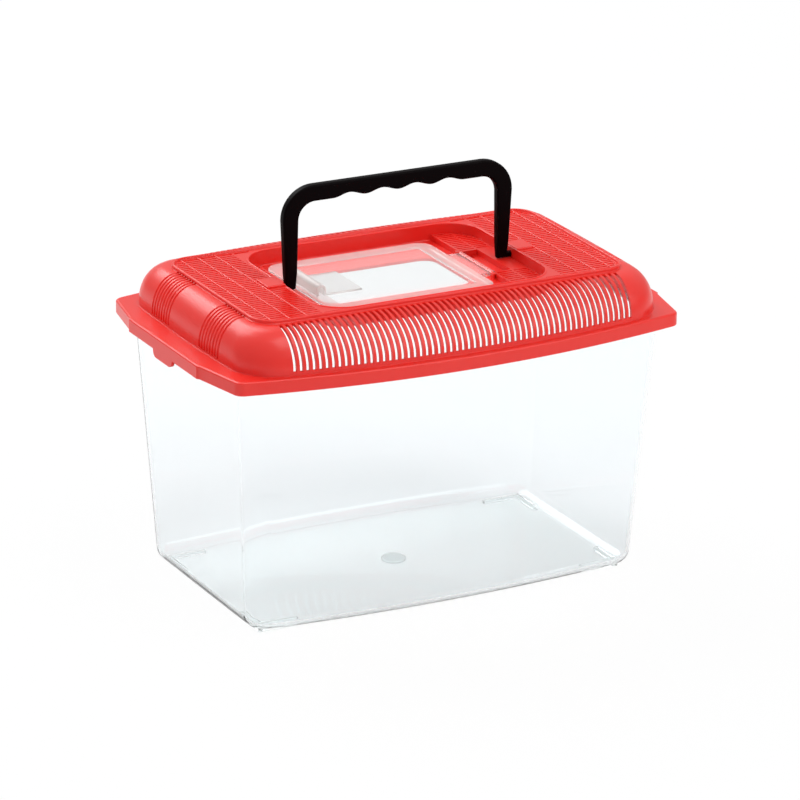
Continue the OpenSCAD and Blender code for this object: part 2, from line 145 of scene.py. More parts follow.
class Workpiece:
    """A mesh that is modelled in millimetres, and finished in metres."""

    def __init__(self, shape: bpy.types.Object, name: str) -> None:
        """Takes over a new object, under a name."""
        self.shape = shape
        self.shape.name = name

    @classmethod
    def loft(cls, name: str, rings: Sequence[Ring], closed: bool = False) -> "Workpiece":
        """Extrudes a circle's edge from ring to ring.

        Args:
            name: Name of the piece.
            rings: Rings with equally many places.
            closed: Whether the last ring meets the first. Otherwise both ends get a cap.

        Returns:
            The closed piece.
        """
        deselect()
        bpy.ops.mesh.primitive_circle_add(vertices=len(rings[0]), radius=1)
        piece = cls(bpy.context.object, name)
        order = piece.shape.data.attributes.new("place", "INT", "POINT")
        order.data.foreach_set("value", range(len(rings[0])))
        piece.edit()
        piece.lay(rings[0])
        for ring in rings[1:]:
            bpy.ops.mesh.extrude_region_move()
            piece.lay(ring)
        if closed:
            bpy.ops.mesh.extrude_region_move()
            piece.lay(rings[0])
        bpy.ops.mesh.select_all(action="SELECT")
        bpy.ops.mesh.remove_doubles(threshold=MERGE)
        if not closed:
            bpy.ops.mesh.fill_holes(sides=0)
        bpy.ops.mesh.select_all(action="SELECT")
        bpy.ops.mesh.normals_make_consistent(inside=False)
        piece.rest()
        piece.shape.data.attributes.remove(piece.shape.data.attributes["place"])
        return piece

    @classmethod
    def block(cls, name: str, low: Place, high: Place, edge: float = 0, steps: int = 2) -> "Workpiece":
        """A box with rounded edges.

        Args:
            name: Name of the piece.
            low: Its lowest corner.
            high: Its highest corner.
            edge: Radius of all its edges.
            steps: Faces round an edge.

        Returns:
            The piece.
        """
        deselect()
        centre = [(a + b) / 2 for a, b in zip(low, high)]
        bpy.ops.mesh.primitive_cube_add(size=1, location=centre, scale=[b - a for a, b in zip(low, high)])
        piece = cls(bpy.context.object, name)
        bpy.ops.object.transform_apply(location=True, rotation=True, scale=True)
        if edge:
            piece.round_edges(lambda middle, direction: True, edge, steps)
        return piece

    @classmethod
    def rod(
        cls, name: str, start: Place, end: Place, r: float, edge: float = 0, sides: int = 32
    ) -> "Workpiece":
        """A round rod with rounded ends.

        Args:
            name: Name of the piece.
            start: Middle of one end.
            end: Middle of the other end.
            r: Radius.
            edge: Radius of the edges at its ends.
            sides: Faces round the rod.

        Returns:
            The piece.
        """
        deselect()
        a, b = Vector(start), Vector(end)
        turn = (b - a).to_track_quat("Z", "Y").to_euler()
        bpy.ops.mesh.primitive_cylinder_add(
            vertices=sides, radius=r, depth=(b - a).length, location=(a + b) / 2, rotation=turn
        )
        piece = cls(bpy.context.object, name)
        bpy.ops.object.transform_apply(location=True, rotation=True, scale=True)
        if edge:
            along = (b - a).normalized()
            piece.round_edges(lambda middle, direction: abs(direction.dot(along)) < 0.5, edge, 3)
        return piece

    def edit(self) -> None:
        """Opens the piece in edit mode, all selected."""
        deselect()
        self.shape.select_set(True)
        bpy.context.view_layer.objects.active = self.shape
        bpy.ops.object.mode_set(mode="EDIT")
        bpy.ops.mesh.select_mode(type="VERT")
        bpy.ops.mesh.select_all(action="SELECT")

    def rest(self) -> None:
        """Leaves edit mode."""
        bpy.ops.object.mode_set(mode="OBJECT")

    def lay(self, ring: Ring) -> None:
        """Lays the selected points on a ring, each at its own place.

        Args:
            ring: The places.
        """
        work = bmesh.from_edit_mesh(self.shape.data)
        order = work.verts.layers.int["place"]
        for vert in work.verts:
            if vert.select:
                vert.co = ring[vert[order]]
        bmesh.update_edit_mesh(self.shape.data)

    def round_edges(self, wanted: Callable[[Vector, Vector], bool], r: float, steps: int = 3) -> None:
        """Bevels the edges that a test picks.

        Args:
            wanted: Takes an edge's middle and direction, and says whether it is bevelled.
            r: Radius.
            steps: Faces round an edge.
        """
        self.edit()
        bpy.ops.mesh.select_mode(type="EDGE")
        bpy.ops.mesh.select_all(action="DESELECT")
        work = bmesh.from_edit_mesh(self.shape.data)
        for edge in work.edges:
            a, b = (v.co for v in edge.verts)
            edge.select_set(wanted((a + b) / 2, (b - a).normalized()))
        bmesh.update_edit_mesh(self.shape.data)
        bpy.ops.mesh.bevel(offset=r, offset_type="OFFSET", segments=steps, affect="EDGES")
        self.rest()

    def moved(self, offset: Place, turn: Optional[Matrix] = None) -> "Workpiece":
        """A copy of the piece at another place.

        Args:
            offset: How far the copy is moved.
            turn: A turn or mirroring that comes before the move.

        Returns:
            The copy, with a mesh of its own.
        """
        shape = self.shape.copy()
        shape.data = self.shape.data.copy()
        shape.data.transform(Matrix.Translation(offset) @ (turn or Matrix.Identity(4)))
        if turn is not None and turn.determinant() < 0:
            shape.data.flip_normals()
        bpy.context.collection.objects.link(shape)
        return Workpiece(shape, self.shape.name)

    def mirrored(self, axis: str) -> "Workpiece":
        """A copy of the piece, mirrored along X or Y."""
        return self.moved((0, 0, 0), Matrix.Scale(-1, 4, Vector((axis == "X", axis == "Y", 0))))

    def change(self, other: "Workpiece", how: Combine) -> None:
        """Adds another piece to this one, or cuts it out, and uses it up.

        Args:
            other: The other piece.
            how: What is done.
        """
        tool = self.shape.modifiers.new(how.name, "BOOLEAN")
        tool.operation = how.value
        tool.solver = "EXACT"
        tool.object = other.shape
        deselect()
        bpy.context.view_layer.objects.active = self.shape
        bpy.ops.object.modifier_apply(modifier=tool.name)
        bpy.data.objects.remove(other.shape, do_unlink=True)

    def finish(self, material: bpy.types.Material, role: Role) -> None:
        """Cleans the piece, brings it to metres, dresses it and hands it to the frame.

        Args:
            material: Its material.
            role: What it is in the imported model.
        """
        self.edit()
        bpy.ops.mesh.remove_doubles(threshold=MERGE)
        bpy.ops.mesh.dissolve_degenerate(threshold=MERGE)
        self.rest()
        self.shape.scale = (MM, MM, MM)
        bpy.ops.object.transform_apply(location=True, rotation=True, scale=True)
        bpy.ops.object.shade_smooth_by_angle(angle=math.radians(role.smooth))
        # Large faces keep their own normal, so that clear walls bend the light as flat sheets do.
        weigh = self.shape.modifiers.new("weigh", "WEIGHTED_NORMAL")
        weigh.keep_sharp = True
        bpy.ops.object.modifier_apply(modifier=weigh.name)
        self.shape.data.materials.clear()
        self.shape.data.materials.append(material)
        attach(self.shape, role.body)
        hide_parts(role.node)
        log.info("%s: %d faces", self.shape.name, len(self.shape.data.polygons))


def joined(pieces: Sequence[Workpiece]) -> Workpiece:
    """Joins pieces that don't overlap into one workpiece.

    Args:
        pieces: The pieces.

    Returns:
        The first piece, which now holds them all.
    """
    deselect()
    for piece in pieces:
        piece.shape.select_set(True)
    bpy.context.view_layer.objects.active = pieces[0].shape
    bpy.ops.object.join()
    return pieces[0]


def with_mirrored(pieces: list[Workpiece], axis: str) -> list[Workpiece]:
    """The pieces, and their copies mirrored along X or Y."""
    return pieces + [piece.mirrored(axis) for piece in pieces]


# Finishes


def linear(colour: str) -> tuple[float, float, float, float]:
    """Turns an sRGB colour into a linear one.

    Args:
        colour: Six hex digits.

    Returns:
        Linear red, green and blue, and an alpha of 1.
    """
    levels = [int(colour[i : i + 2], 16) / 255 for i in (0, 2, 4)]
    red, green, blue = (v / 12.92 if v <= 0.04045 else ((v + 0.055) / 1.055) ** 2.4 for v in levels)
    return red, green, blue, 1.0


def add_node(tree: Tree, kind: str, inputs: Optional[dict] = None, **settings: object) -> bpy.types.Node:
    """Adds a shader node.

    Args:
        tree: The node tree.
        kind: The node's type, without its prefix.
        inputs: What its inputs get, by name or number: a constant, or the socket or the node that feeds it.
        settings: The node's own settings.

    Returns:
        The node.
    """
    node = tree.nodes.new("ShaderNode" + kind)
    for name, value in settings.items():
        setattr(node, name, value)
    for name, value in (inputs or {}).items():
        source = value.outputs[0] if isinstance(value, bpy.types.Node) else value
        if isinstance(source, bpy.types.NodeSocket):
            tree.links.new(source, node.inputs[name])
        else:
            node.inputs[name].default_value = source
    return node


def new_tree(name: str) -> tuple[bpy.types.Material, Tree]:
    """Makes an empty node material.

    Args:
        name: Its name.

    Returns:
        The material and its node tree.
    """
    material = bpy.data.materials.new(name)
    material.use_nodes = True
    material.node_tree.nodes.clear()
    return material, material.node_tree


def relief(
    tree: Tree, place: bpy.types.NodeSocket, size_mm: float, depth_mm: float, detail: float, shown: float
) -> bpy.types.Node:
    """Adds a fine random relief, of bumps of a size and depth, with finer layers on them."""
    bumps = add_node(tree, "TexNoise", {"Vector": place, "Scale": 1 / (size_mm * MM), "Detail": detail})
    return add_node(tree, "Bump", {"Height": bumps, "Strength": shown, "Distance": depth_mm * MM})


@dataclass(frozen=True)
class MouldedPlastic:
    """An opaque plastic from an injection mould, such as polypropylene."""

    name: str
    colour: str
    deep_colour: str
    roughness: float
    cloud_mm: float
    grain_mm: float
    grain_depth_mm: float
    gloss: float
    rough_spread: float = 0.04
    ior: float = 1.49
    glow: float = 0.0
    glow_mm: float = 2.0
    glow_spread: Place = (1.0, 0.22, 0.15)

    def material(self) -> bpy.types.Material:
        """Builds the material.

        Returns:
            The material.
        """
        material, tree = new_tree(self.name)
        place = add_node(tree, "TexCoord").outputs["Object"]
        # Pigment mixes unevenly in the melt, which gives the eye faint clouds of depth.
        cloud = 1 / (self.cloud_mm * MM)
        clouds = add_node(tree, "TexNoise", {"Vector": place, "Scale": cloud, "Detail": 3.0})
        shades = {0: clouds, 6: linear(self.colour), 7: linear(self.deep_colour)}
        low, high = self.roughness - self.rough_spread, self.roughness + self.rough_spread
        # Light that goes in between the pigment grains comes out again beside them, which fills thin ribs.
        # The mould's fine spark-eroded skin softens the highlights.
        plastic = add_node(
            tree,
            "BsdfPrincipled",
            {
                "Base Color": add_node(tree, "Mix", shades, data_type="RGBA").outputs[2],
                "Roughness": add_node(tree, "MapRange", {"Value": clouds, "To Min": low, "To Max": high}),
                "Normal": relief(tree, place, self.grain_mm, self.grain_depth_mm, 2.0, 0.35),
                "IOR": self.ior,
                "Specular IOR Level": self.gloss,
                "Subsurface Weight": self.glow,
                "Subsurface Radius": self.glow_spread,
                "Subsurface Scale": self.glow_mm * MM,
            },
        )
        add_node(tree, "OutputMaterial", {"Surface": plastic})
        return material


@dataclass(frozen=True)
class ClearPlastic:
    """Clear polystyrene from a polished mould. It lets lamps through, so that what is inside stays lit."""

    name: str
    colour: str
    wave_mm: float
    wave_depth_mm: float
    ior: float
    haze: float = 0.0
    gate_r_mm: float = 0.0
    gate_haze: float = 0.0
    gate_core: float = 0.86
    gate_top_mm: float = 8.0
    veil_colour: str = "ffffff"
    upper_mm: float = 1000.0
    upper_haze: float = 0.0
    roughness: float = 0.0
    shadow_colour: str = "f4f7f6"

    def veil_share(self, tree: Tree, place: bpy.types.NodeSocket) -> bpy.types.Node:
        """How much of the surface is cloudy: the haze, and more on the gate mark and on the upper faces.

        Args:
            tree: The node tree.
            place: The object's own coordinates.

        Returns:
            The node with the share.
        """
        axis = add_node(tree, "VectorMath", {0: place, 1: (1, 1, 0)}, operation="MULTIPLY")
        radius = add_node(tree, "VectorMath", {0: axis}, operation="LENGTH").outputs["Value"]
        r = self.gate_r_mm * MM
        core, haze = r * self.gate_core, self.gate_haze
        fade = {"Value": radius, "From Min": r, "From Max": core, "To Max": haze}
        disc = add_node(tree, "MapRange", fade, interpolation_type="SMOOTHSTEP")
        height = add_node(tree, "SeparateXYZ", {0: place}).outputs["Z"]
        low = add_node(tree, "Math", {0: height, 1: self.gate_top_mm * MM}, operation="LESS_THAN")
        high = add_node(tree, "Math", {0: height, 1: self.upper_mm * MM}, operation="GREATER_THAN")
        upper = add_node(tree, "Math", {0: high, 1: self.upper_haze, 2: self.haze}, operation="MULTIPLY_ADD")
        return add_node(tree, "Math", {0: disc, 1: low, 2: upper}, operation="MULTIPLY_ADD")

    def material(self) -> bpy.types.Material:
        """Builds the material.

        Returns:
            The material.
        """
        material, tree = new_tree(self.name)
        place = add_node(tree, "TexCoord").outputs["Object"]
        # The melt's flow leaves long low waves, which bend what shows through the wall.
        glass = add_node(
            tree,
            "BsdfPrincipled",
            {
                "Base Color": linear(self.colour),
                "Roughness": self.roughness,
                "IOR": self.ior,
                "Transmission Weight": 1.0,
                "Normal": relief(tree, place, self.wave_mm, self.wave_depth_mm, 1.0, 0.4),
            },
        )
        # Fine scratches, the rough gate mark and the rubbed upper faces (the rim flange, the door's border)
        # scatter a little light, which reads as a thin milky veil.
        milk = add_node(tree, "BsdfTranslucent", {"Color": linear(self.veil_colour)})
        chalk = add_node(tree, "BsdfDiffuse", {"Color": linear(self.veil_colour)})
        veil = add_node(tree, "MixShader", {0: 0.5, 1: milk, 2: chalk})
        veiled = add_node(tree, "MixShader", {0: self.veil_share(tree, place), 1: glass, 2: veil})
        shadow = add_node(tree, "LightPath").outputs["Is Shadow Ray"]
        clear = add_node(tree, "BsdfTransparent", {"Color": linear(self.shadow_colour)})
        both = add_node(tree, "MixShader", {0: shadow, 1: veiled, 2: clear})
        add_node(tree, "OutputMaterial", {"Surface": both})
        return material


# The keeper


@dataclass
class Tank:
    """The clear drafted tank with its rim flange and feet, one moulding."""

    half_length: float = 119.5
    half_width: float = 65.3
    bow: float = 7.2
    top_bow: float = 9.7
    draft: float = 9.5
    height: float = 151.8
    wall: float = 2.0
    floor: float = 2.4
    steps: tuple[float, ...] = (50.0, 95.0)
    corner_r: float = 12.0
    bottom_r: float = 8.0
    foot_height: float = 2.0
    foot_arm: float = 24.0
    foot_w: float = 3.0
    foot_x: float = 112.5
    foot_y: float = 58.3
    flange: float = 2.4
    flange_inset: float = 2.3
    gate_r: float = 7.0
    gate_depth: float = 0.5
    gate_edge: float = 0.3
    gate_sides: int = 48
    foot_sink: float = 0.8
    foot_edge: float = 0.5
    lip: float = 0.5
    role: Role = Role("tank", "tank", "clear_tank", 40)

    def ring(self, z: float, inset: float) -> Ring:
        """The wall's outline at a height.

        Args:
            z: The height.
            inset: How far it is taken in.

        Returns:
            The ring.
        """
        rise = z / self.height
        grow = self.draft * rise - inset
        bow = self.bow + (self.top_bow - self.bow) * rise
        r = max(self.corner_r - inset, self.wall)
        return at_height(rounded(self.half_length + grow, self.half_width + grow, r, bow), z)

    def bottom_round(self, base: float, r: float, inset: float) -> list[Ring]:
        """Rings round a bottom edge, from a floor at the height base up to a wall that is taken in."""
        return [self.ring(base + r * (1 - c), inset + r * (1 - s)) for s, c in arc(8)]

    def walls(self, rim: Callable[[float, float], Ring]) -> Workpiece:
        """The shell, from the floor's underside over the flange to the floor's upper face.

        Args:
            rim: The lid's outline at an inset and a height, which the flange follows.

        Returns:
            The shell.
        """
        low, top, lip = self.height - self.flange, self.height, self.lip
        outside = self.bottom_round(self.foot_height, self.bottom_r, 0)
        outside += [self.ring(z, 0) for z in self.steps + (low,)]
        edge = ((lip, low), (0, low + lip), (0, top - lip), (lip, top))
        inside = self.bottom_round(self.foot_height + self.floor, self.bottom_r - self.wall, self.wall)
        inside += [self.ring(z, self.wall) for z in self.steps + (top - lip, top)]
        flange = [rim(self.flange_inset + inset, z) for inset, z in edge]
        return Workpiece.loft("tank_moulding", outside + flange + inside[::-1])

    def foot(self) -> Workpiece:
        """The L-shaped ridge under the rear right corner."""
        x, y, w, arm = self.foot_x, self.foot_y, self.foot_w, self.foot_arm
        high, lows = (x, y, self.foot_height + self.foot_sink), ((x - arm, y - w, 0), (x - w, y - arm, 0))
        long, short = (Workpiece.block("foot", low, high, self.foot_edge) for low in lows)
        long.change(short, Combine.ADD)
        return long

    def gate_mark(self) -> Workpiece:
        """The low round pad under the floor's middle, where the melt came in."""
        low, high = ((0, 0, self.foot_height + way * self.gate_depth) for way in (-1, 1))
        return Workpiece.rod("gate", low, high, self.gate_r, self.gate_edge, self.gate_sides)

    def build(self, finish: ClearPlastic, rim: Callable[[float, float], Ring]) -> None:
        """Models and dresses the tank.

        Args:
            finish: Its plastic.
            rim: The lid's outline at an inset and a height.
        """
        tank = self.walls(rim)
        feet = with_mirrored(with_mirrored([self.foot()], "X"), "Y")
        tank.change(joined(feet + [self.gate_mark()]), Combine.ADD)
        tank.finish(finish.material(), self.role)


@dataclass
class Lid:
    """The red lid: skirt, flange, vented dome, top plate and recess, one moulding."""

    half_length: float = 142.7
    corner_x: float = 135.0
    corner_y: float = 78.4
    end_y: float = 43.6
    end_step: float = 1.1
    kink_out: float = 0.6
    kink_in: float = 0.8
    slant_steps: tuple[float, ...] = (0.4, 0.8, 1.0)
    bow: float = 15.1
    rim_corner_r: float = 4.0
    skirt_bottom: float = 146.1
    rim_top: float = 153.8
    rim_round: float = 1.2
    skirt_edge: tuple[Point, ...] = ((1.3, 0), (0.5, 0), (0.15, 0.15), (0, 0.5))
    skirt_lip: float = 0.5
    wall: float = 1.8
    dome_wall: float = 1.5
    tab_half_w: float = 12.0
    tab_bottom: float = 142.0
    tab_corner_r: float = 4.0
    tab_rise: float = 3.0
    tab_sink: float = 0.1
    tab_behind: float = 0.02
    dome_half_length: float = 127.5
    dome_half_width: float = 76.4
    dome_bow: float = 12.6
    dome_end_bow: float = 2.5
    dome_rise: float = 22.7
    dome_straight: float = 2.5
    dome_fillet: tuple[Point, ...] = ((0.9, 0), (0.26, 0.26), (0, 0.9))
    shoulder_half_length: float = 115.0
    shoulder_half_width: float = 61.6
    shoulder_corner_r: float = 14.0
    dome_corner_grow: float = 6.0
    plate_half_length: float = 113.4
    plate_half_width: float = 59.8
    plate_corner_r: float = 13.0
    lip_top: float = 178.7
    lip_w: float = 1.6
    lip_foot: tuple[Point, ...] = ((-0.4, 2.2), (0, 1.8))
    lip_slope: float = 0.3
    plate_top: float = 177.4
    recess_half_length: float = 71.4
    recess_half_width: float = 54.0
    recess_corner_r: float = 19.0
    recess_floor: float = 168.5
    fillet: float = 1.0
    bead_w: float = 1.2
    bead_h: float = 0.5
    opening_left: float = -55.5
    opening_right: float = 35.0
    opening_half_width: float = 25.5
    opening_corner_r: float = 8.0
    opening_edge: float = 0.4
    slots: int = 58
    slot_pitch: float = 3.6
    slot_w: float = 1.9
    slot_bottom: float = 156.0
    slot_inner_y: float = 61.9
    slot_to_top: float = 1.9
    groove_pitch: float = 3.1
    groove_first_y: float = 19.5
    grooves: int = 8
    groove_r: float = 1.0
    groove_sides: int = 8
    groove_below: float = 1.3
    groove_beyond: float = 3.0
    grid_first_x: float = 73.8
    grid_pitch: float = 10.4
    grid_columns: int = 4
    grid_inner_columns: int = 2
    grid_rib_w: float = 1.3
    grid_rows: int = 38
    grid_row_pitch: float = 3.0
    grid_slit_w: float = 1.3
    slit_to_boss: float = 1.5
    slit_to_wall: float = 2.0
    slit_to_corner: float = 2.6
    slit_to_lip: float = 1.4
    slit_to_edge: float = 1.2
    least_slit: float = 3.0
    rib_bead_r: float = 0.5
    rib_bead_gap: float = 0.2
    rib_bead_sides: int = 16
    boss_length: float = 11.4
    boss_half_w: float = 7.2
    boss_setback: float = 0.3
    boss_edge: float = 0.6
    pivot_z: float = 173.8
    pivot_hole_r: float = 1.86
    pivot_hole_depth: float = 4.6
    shelf_top: float = 171.8
    left_shelf: float = -61.3
    right_shelf: float = 50.2
    shelf_edge: float = 0.4
    shelf_sink: float = 0.9
    shelf_rib_x: float = 61.2
    shelf_row_first: float = 22.0
    shelf_rows: int = 11
    pocket_half_w: float = 19.5
    hinge_x: float = 50.4
    hinge_z: float = 170.4
    pin_hole_r: float = 1.06
    ear_t: float = 3.6
    ear_left: float = 48.4
    ear_edge: float = 0.3
    core_hole_y: float = 15.8
    core_holes: tuple[Point, ...] = ((49.6, 53.6), (54.8, 58.0))
    role: Role = Role("lid", "lid", "red_lid", 32)

    def rim(self, inset: float, z: float) -> Ring:
        """The skirt's outline, with bowed long sides and ends of three straights.

        Args:
            inset: How far it is taken in.
            z: Its height.

        Returns:
            The ring.
        """
        cx, cy, r = self.corner_x - inset, self.corner_y - inset, self.rim_corner_r
        end_x = self.half_length - inset
        long = [(x, cy + self.bow * (1 - (x / cx) ** 2)) for x in ((cx - r) * t for t in share(ALONG))]
        corner, kink = Vector((cx, cy)), Vector((end_x - self.end_step, self.end_y + self.kink_out))
        start, end = Vector(long[-1]), corner + (kink - corner).normalized() * r
        turn = [start * (1 - t) ** 2 + corner * 2 * t * (1 - t) + end * t**2 for t in share(CORNER, 1)]
        slant = [tuple(p) for p in turn + [end.lerp(kink, t) for t in self.slant_steps]]
        tab, inner = self.tab_half_w, self.end_y - self.kink_in
        middle = [inner + (tab - inner) * t for t in share(5)] + [tab * (1 - t) for t in share(3, 1)]
        return at_height(whole(long + slant + [(end_x, y) for y in middle]), z)

    def spread(self, c: float) -> Point:
        """Half length and half width of the dome, where c is the cosine of the angle over its shoulder."""
        x, y = self.shoulder_half_length, self.shoulder_half_width
        return x + (self.dome_half_length - x) * c, y + (self.dome_half_width - y) * c

    def dome(self, angle: float, inset: float) -> Ring:
        """The dome's outline at an angle over its shoulder.

        Args:
            angle: 0 at the dome's foot and 90 degrees at the plate.
            inset: How far it is taken in.

        Returns:
            The ring.
        """
        c, s = math.cos(math.radians(angle)), math.sin(math.radians(angle))
        half_x, half_y = (half - inset for half in self.spread(c))
        r = self.shoulder_corner_r + self.dome_corner_grow * c - inset
        rise = (self.dome_rise - self.dome_straight - max(inset, 0)) * s
        outline = rounded(half_x, half_y, r, self.dome_bow * c, self.dome_end_bow * c)
        return at_height(outline, self.rim_top + self.dome_straight + rise)

    def plate(self, inset: float, z: float) -> Ring:
        """The top plate's outline, taken in by inset, at a height."""
        half_x, half_y = self.plate_half_length - inset, self.plate_half_width - inset
        return at_height(rounded(half_x, half_y, self.plate_corner_r - inset), z)

    def recess(self, outset: float, z: float) -> Ring:
        """The recess's outline, let out by outset, at a height."""
        half_x, half_y = self.recess_half_length + outset, self.recess_half_width + outset
        return at_height(rounded(half_x, half_y, self.recess_corner_r + outset), z)

    def opening(self, outset: float, z: float) -> Ring:
        """The hatch opening's outline, let out by outset, at a height."""
        half_x = (self.opening_right - self.opening_left) / 2 + outset
        outline = rounded(half_x, self.opening_half_width + outset, self.opening_corner_r + outset)
        return at_height(outline, z, (self.opening_left + self.opening_right) / 2)

    def skirt_rings(self) -> list[Ring]:
        """The skirt's outer face, from its lower edge over the rounded top edge to the flange."""
        low, r = self.skirt_bottom, self.rim_round
        bottom = [self.rim(inset, low + up) for inset, up in self.skirt_edge]
        return bottom + [self.rim(r * (1 - c), self.rim_top - r + r * s) for s, c in arc(6)]

    def dome_rings(self) -> list[Ring]:
        """The dome's outer face, from its small foot fillet up to the plate."""
        foot = [[(x, y, self.rim_top + up) for x, y, _ in self.dome(0, -out)] for out, up in self.dome_fillet]
        return foot + [self.dome(90 * t, 0) for t in share(12)]

    def lip_rings(self) -> list[Ring]:
        """The raised lip round the plate, a half round, and the plate's face inside it."""
        r = self.lip_w / 2
        foot = [self.plate(inset, self.lip_top - down) for inset, down in self.lip_foot]
        arch = [self.plate(r * (1 - c), self.lip_top - r + r * s) for s, c in arc(8, 180)]
        return foot + arch + [self.plate(self.lip_w + self.lip_slope, self.plate_top)]

    def recess_rings(self) -> list[Ring]:
        """The bead round the recess, its wall, its floor and the edge of the hatch opening."""
        r, top, low = self.bead_w / 2, self.plate_top, self.recess_floor
        fillet, edge = self.fillet, self.opening_edge
        bead = [self.recess(self.bead_w - r * (1 - c), top + self.bead_h * s) for s, c in arc(6, 180)]
        foot = [self.recess(fillet * (c - 1), low + fillet * (1 - s)) for s, c in arc(4)]
        return bead + foot + [self.opening(edge, low), self.opening(0, low - edge)]

    def inner_rings(self) -> list[Ring]:
        """The lid's inside, from the opening's lower edge back to the skirt's."""
        wall, fillet, under = self.wall, self.fillet, self.recess_floor - self.wall
        plate_under = self.rim_top + self.dome_rise - self.dome_wall
        corner = ((wall - fillet, under), (wall, under + fillet), (wall, plate_under))
        tub = [self.opening(0, under)] + [self.recess(outset, z) for outset, z in corner]
        shoulder = [self.dome(90 * t, self.dome_wall) for t in share(8)[::-1]]
        flange = self.rim_top - wall
        foot = [(x, y, flange) for x, y, _ in shoulder[-1]]
        skirt = [self.rim(wall, z) for z in (flange, self.skirt_bottom + self.skirt_lip)]
        return tub + shoulder + [foot] + skirt

    def shell(self) -> Workpiece:
        """The whole wall as one closed loft."""
        outer = self.skirt_rings() + self.dome_rings() + self.lip_rings() + self.recess_rings()
        return Workpiece.loft("lid_moulding", outer + self.inner_rings(), closed=True)

    def tab(self) -> Workpiece:
        """The clip tab that hangs from the right end's skirt."""
        y = self.tab_half_w
        low = (self.half_length - self.wall - self.tab_sink, -y, self.tab_bottom)
        high = (self.half_length - self.tab_behind, y, self.skirt_bottom + self.tab_rise)
        tab = Workpiece.block("tab", low, high)
        tab.round_edges(lambda m, d: m.z < low[2] + NEAR and abs(m.y) > y - NEAR, self.tab_corner_r, 6)
        return tab

    def boss(self) -> Workpiece:
        """The block beside the recess that holds a pivot peg."""
        x, y, z = self.recess_half_length, self.boss_half_w, self.recess_floor - self.wall
        low = (x + self.boss_setback, -y, z + self.boss_setback)
        high = (x + self.boss_length, y, self.lip_top)
        return Workpiece.block("boss", low, high, self.boss_edge, 3)

    def recess_end(self, inner: float, outset: float, low: float, high: float) -> Workpiece:
        """The part of the recess beyond a line across it, as a solid.

        Args:
            inner: X of the line, which also tells the end.
            outset: How far the solid reaches into the recess's wall.
            low: Its lower face.
            high: Its upper face.

        Returns:
            The solid.
        """
        r = self.recess_corner_r + outset
        into_corner = max(abs(inner) - self.recess_half_length - outset + r, 0)
        half_y = self.recess_half_width + outset - r + math.sqrt(r**2 - into_corner**2)
        beyond = [(x, y) for x, y, _ in self.recess(outset, 0) if x * inner > 0 and abs(x) > abs(inner)]
        beyond.sort(key=lambda p: math.atan2(p[1], abs(p[0]) - abs(inner)))
        outline = [(inner, -half_y)] + beyond + [(inner, half_y)]
        return Workpiece.loft("recess_end", [at_height(outline, z) for z in (low, high)])

    def shelf(self, inner: float) -> Workpiece:
        """The raised part of the recess floor at an end, from a line across it to the end wall."""
        top, edge = self.shelf_top, self.shelf_edge
        shelf = self.recess_end(inner, edge, self.recess_floor - self.shelf_sink, top)
        shelf.round_edges(lambda m, d: m.z > top - NEAR and abs(m.x - inner) < NEAR, edge, 2)
        return shelf

    def hinge_shelf(self) -> Workpiece:
        """The right shelf with the pocket for the hinge bar and the two ears that hold its pins."""
        shelf, floor, top = self.shelf(self.right_shelf), self.recess_floor, self.shelf_top
        x, y = self.ear_left, self.pocket_half_w
        pocket = Workpiece.block("pocket", (x, -y, floor - 2 * PAST), (self.shelf_rib_x, y, top + PAST))
        shelf.change(pocket, Combine.CUT)
        high = (self.right_shelf + self.fillet, y + self.ear_t, top)
        ear = Workpiece.block("ear", (x, y, floor - self.shelf_sink), high, self.ear_edge)
        for piece in (ear.mirrored("Y"), ear):
            shelf.change(piece, Combine.ADD)
        return shelf

    def hollows(self) -> list[Workpiece]:
        """Cutters for the hollows under both shelves, which leave the pocket its walls."""
        low, high = self.recess_floor - self.wall - PAST, self.shelf_top - self.wall
        right = self.recess_end(self.right_shelf + self.wall, 0, low, high)
        x, y = self.shelf_rib_x + self.wall, self.pocket_half_w + self.wall
        kept = Workpiece.block("kept", (self.right_shelf, -y, low - PAST), (x, y, high + PAST))
        right.change(kept, Combine.CUT)
        return [right, self.recess_end(self.left_shelf - self.wall, 0, low, high)]

    def slit_fits(self, x: float, y: float) -> bool:
        """Whether a grid slit keeps clear of the boss and of the recess's round corner.

        Args:
            x: Its inner end, for the right end of the lid.
            y: Its middle.

        Returns:
            True if it does.
        """
        out, y, r = x - self.recess_half_length, abs(y), self.recess_corner_r
        past_boss = out > self.boss_length or y > self.boss_half_w + self.slit_to_boss
        to_middle = math.hypot(max(out + r, 0), max(y - self.recess_half_width + r, 0))
        return past_boss and (out > self.slit_to_wall or to_middle > r + self.slit_to_corner)

    def slit_end(self, half_x: float, half_y: float, r: float, margin: float, y: float) -> float:
        """X of the end of a slit at y that keeps a margin from a rounded rectangle."""
        dy = max(abs(y) + self.grid_slit_w / 2 - half_y + r, 0)
        return half_x - r - margin + math.sqrt(max(r**2 - dy**2, 0))

